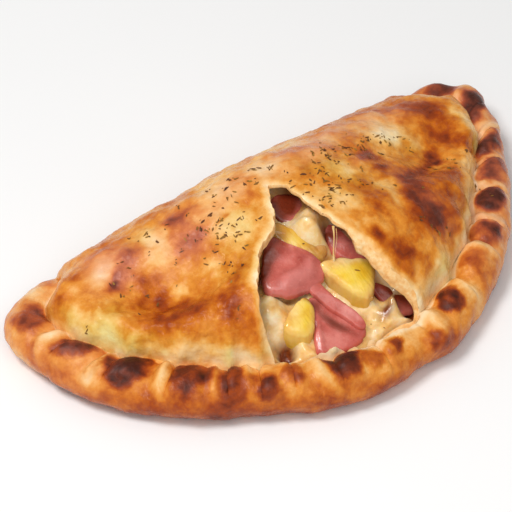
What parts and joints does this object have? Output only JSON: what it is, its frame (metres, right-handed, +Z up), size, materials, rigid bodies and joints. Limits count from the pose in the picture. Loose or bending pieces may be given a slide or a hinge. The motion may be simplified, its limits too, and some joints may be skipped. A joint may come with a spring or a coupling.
{
  "type": "calzone",
  "caption": "Baked half-moon folded pizza with a rope-crimped rim and a torn opening that shows ham, pineapple and melted cheese.",
  "frame": {"origin": "middle of the bounding box, on the flat base that the calzone rests on", "axes": "+X along the fold from tip to tip, the crimped round rim towards -Y and the fold towards +Y, +Z up out of the base"},
  "size_m": [0.248, 0.1318, 0.051],
  "materials": {
    "crust": "golden-brown baked dough with a thin oil gloss, browned and blistered in patches",
    "cheese": "melted cheese, soft gloss",
    "ham": "cooked ham, moist",
    "pineapple": "pineapple flesh, wet"
  },
  "bodies": {
    "root": {"crust": "crust", "filling": "cheese", "ham_left": "ham", "ham_strip": "ham", "ham_front": "ham", "ham_back": "ham", "ham_right_back": "ham", "ham_right": "ham", "pineapple_right": "pineapple", "pineapple_back": "pineapple", "pineapple_front": "pineapple"}
  },
  "joints": []
}
